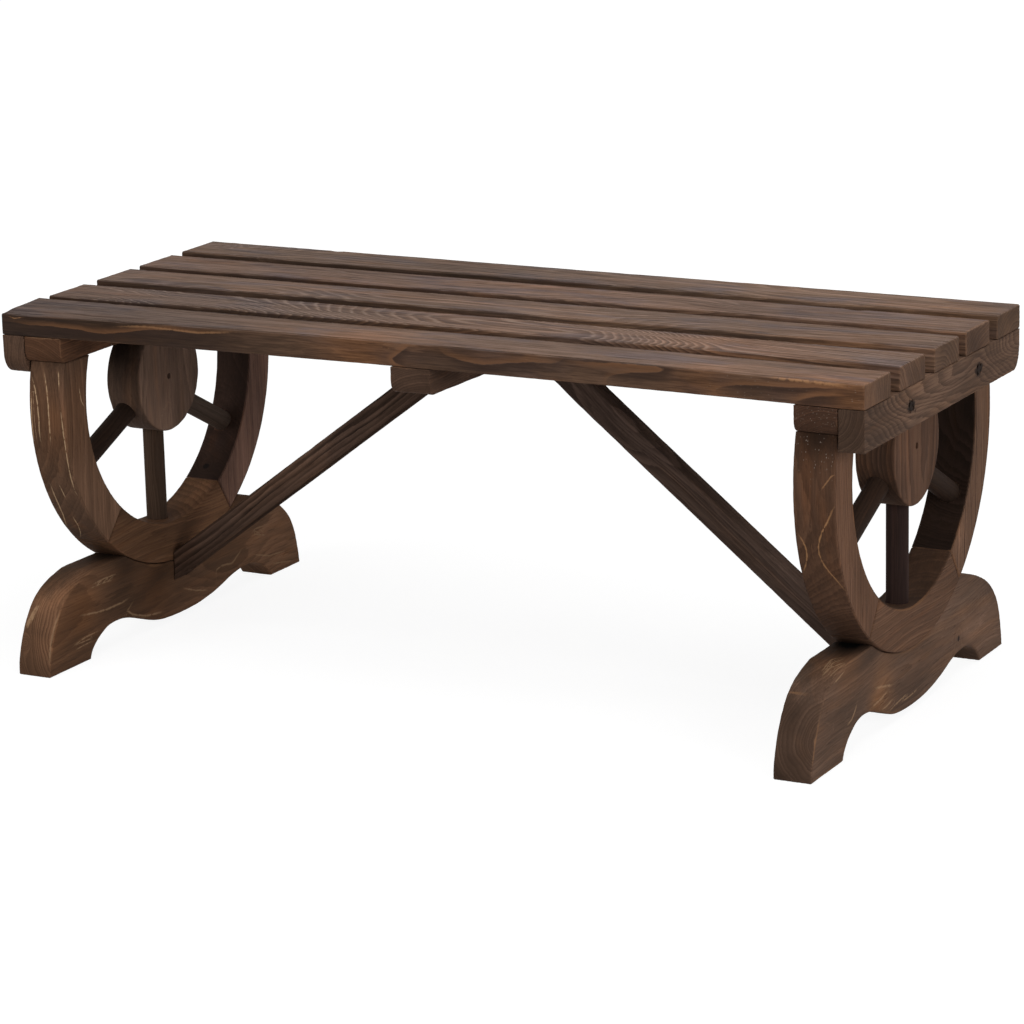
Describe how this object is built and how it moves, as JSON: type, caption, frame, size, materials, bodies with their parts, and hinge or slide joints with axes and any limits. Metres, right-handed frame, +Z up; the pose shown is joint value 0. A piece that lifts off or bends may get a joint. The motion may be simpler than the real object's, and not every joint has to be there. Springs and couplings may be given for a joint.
{
  "type": "wagon wheel bench",
  "caption": "Slatted wooden garden bench without a back, carried by two part wheels with round spokes that stand in scrolled feet, with slanting braces under the seat.",
  "frame": {"origin": "on the floor, under the middle of the seat", "axes": "+X along the seat's length to the right seen from the front, +Y from front to back, +Z up"},
  "size_m": [1.06, 0.556, 0.413],
  "materials": {
    "seat_timber": "charred and brushed softwood, thin dark stain, matt",
    "rail_timber": "charred and brushed softwood, matt",
    "wheel_timber": "charred and brushed softwood, matt",
    "spoke_timber": "turned dowel, dark stain, matt",
    "foot_timber": "charred and brushed softwood, worn edges, matt",
    "brace_timber": "charred and brushed softwood, matt",
    "screw_steel": "zinc plated, dulled"
  },
  "bodies": {
    "root": {"seat_slat_1": "seat_timber", "seat_slat_2": "seat_timber", "seat_slat_3": "seat_timber", "seat_slat_4": "seat_timber", "seat_slat_5": "seat_timber", "centre_rail": "rail_timber", "outer_rail_left": "rail_timber", "inner_rail_left": "rail_timber", "rim_front_left": "wheel_timber", "rim_bottom_left": "wheel_timber", "rim_back_left": "wheel_timber", "hub_left": "wheel_timber", "spoke_front_left": "spoke_timber", "spoke_down_left": "spoke_timber", "spoke_back_left": "spoke_timber", "foot_left": "foot_timber", "brace_left": "brace_timber", "outer_rail_right": "rail_timber", "inner_rail_right": "rail_timber", "rim_front_right": "wheel_timber", "rim_bottom_right": "wheel_timber", "rim_back_right": "wheel_timber", "hub_right": "wheel_timber", "spoke_front_right": "spoke_timber", "spoke_down_right": "spoke_timber", "spoke_back_right": "spoke_timber", "foot_right": "foot_timber", "brace_right": "brace_timber", "slat_screw_centre_1": "screw_steel", "slat_screw_centre_2": "screw_steel", "slat_screw_centre_3": "screw_steel", "slat_screw_centre_4": "screw_steel", "slat_screw_centre_5": "screw_steel", "slat_screw_left_1": "screw_steel", "slat_screw_left_2": "screw_steel", "slat_screw_left_3": "screw_steel", "slat_screw_left_4": "screw_steel", "slat_screw_left_5": "screw_steel", "rail_screw_front_left": "screw_steel", "rail_screw_back_left": "screw_steel", "arm_screw_front_left": "screw_steel", "arm_screw_back_left": "screw_steel", "foot_screw_front_left": "screw_steel", "foot_screw_back_left": "screw_steel", "brace_foot_screw_left": "screw_steel", "brace_head_screw_left": "screw_steel", "slat_screw_right_1": "screw_steel", "slat_screw_right_2": "screw_steel", "slat_screw_right_3": "screw_steel", "slat_screw_right_4": "screw_steel", "slat_screw_right_5": "screw_steel", "rail_screw_front_right": "screw_steel", "rail_screw_back_right": "screw_steel", "arm_screw_front_right": "screw_steel", "arm_screw_back_right": "screw_steel", "foot_screw_front_right": "screw_steel", "foot_screw_back_right": "screw_steel", "brace_foot_screw_right": "screw_steel", "brace_head_screw_right": "screw_steel"}
  },
  "joints": []
}
